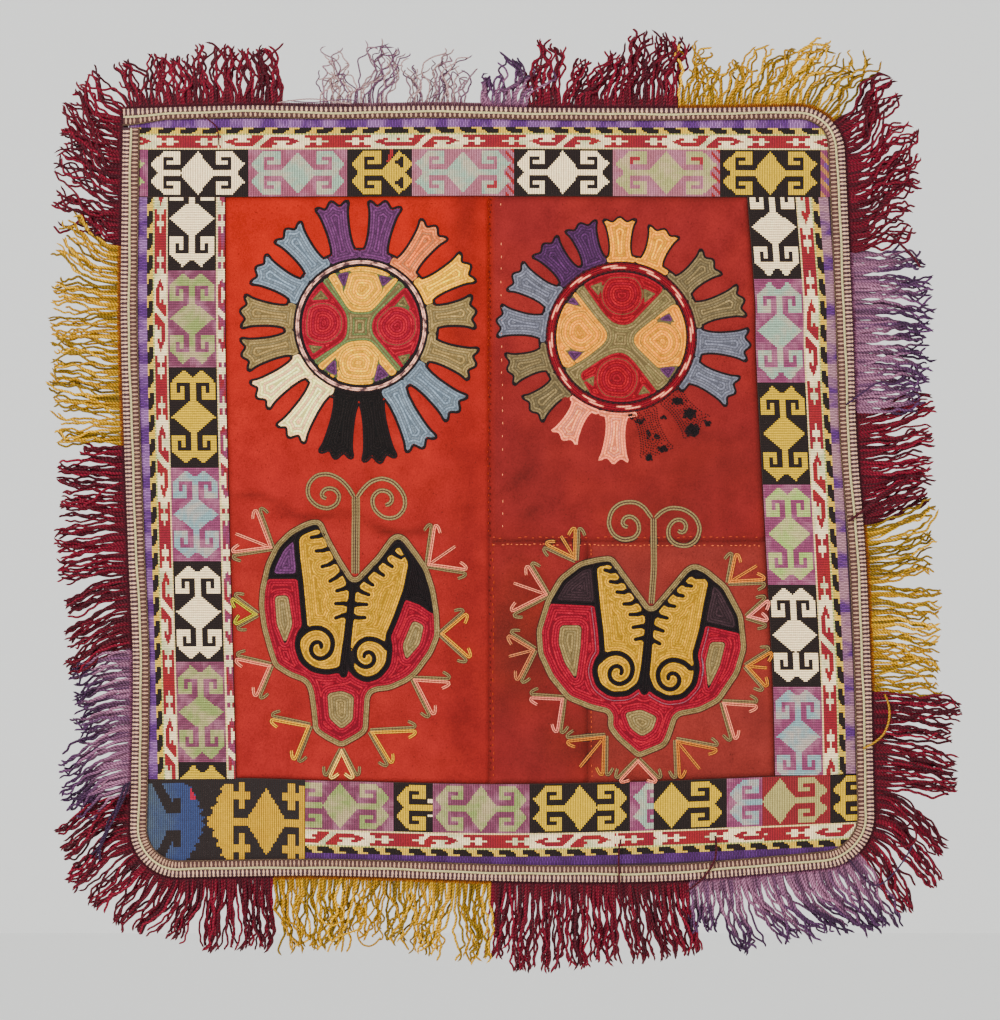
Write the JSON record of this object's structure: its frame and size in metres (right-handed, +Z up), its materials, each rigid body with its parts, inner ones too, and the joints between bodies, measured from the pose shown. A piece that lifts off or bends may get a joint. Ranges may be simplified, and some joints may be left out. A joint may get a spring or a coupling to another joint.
{
  "type": "embroidered wall hanging",
  "caption": "Square pieced cloth hanging with chain-stitched roundels and horned figures, cross-stitched borders, edge braid and a silk fringe all round.",
  "frame": {"origin": "middle of the cloth's top edge, where the wall holds it", "axes": "+Z up along the hanging's height, +X to the viewer's right, the embroidered face looks along -Y"},
  "size_m": [0.6386, 0.0085, 0.6588],
  "materials": {
    "red_wool": "plain-woven red wool, matte, worn",
    "silk_embroidery": "silk chain and cross stitch, soft sheen",
    "braid": "cream and brown woven ladder braid, matte",
    "crimson_silk": "plied crimson silk cord, soft sheen",
    "yellow_silk": "plied yellow silk cord, soft sheen",
    "violet_silk": "space-dyed violet silk cord, soft sheen",
    "faded_silk": "faded lilac silk cord, worn"
  },
  "bodies": {
    "root": {"ground_left": "red_wool", "ground_upper_right": "red_wool", "ground_lower_middle": "red_wool", "ground_lower_right": "red_wool", "border_top": "silk_embroidery", "border_right": "silk_embroidery", "border_bottom": "silk_embroidery", "border_left": "silk_embroidery", "corner_patch": "silk_embroidery", "braid_tape": "braid", "fringe_crimson_top_left": "crimson_silk", "fringe_faded_top": "faded_silk", "fringe_violet_top": "violet_silk", "fringe_crimson_top": "crimson_silk", "fringe_yellow_top": "yellow_silk", "fringe_crimson_top_right": "crimson_silk", "fringe_violet_right": "violet_silk", "fringe_crimson_right": "crimson_silk", "fringe_yellow_right": "yellow_silk", "fringe_crimson_low_right": "crimson_silk", "fringe_violet_bottom": "violet_silk", "fringe_crimson_bottom": "crimson_silk", "fringe_yellow_bottom": "yellow_silk", "fringe_crimson_low_left": "crimson_silk", "fringe_violet_left": "violet_silk", "fringe_crimson_left": "crimson_silk", "fringe_yellow_left": "yellow_silk"}
  },
  "joints": []
}
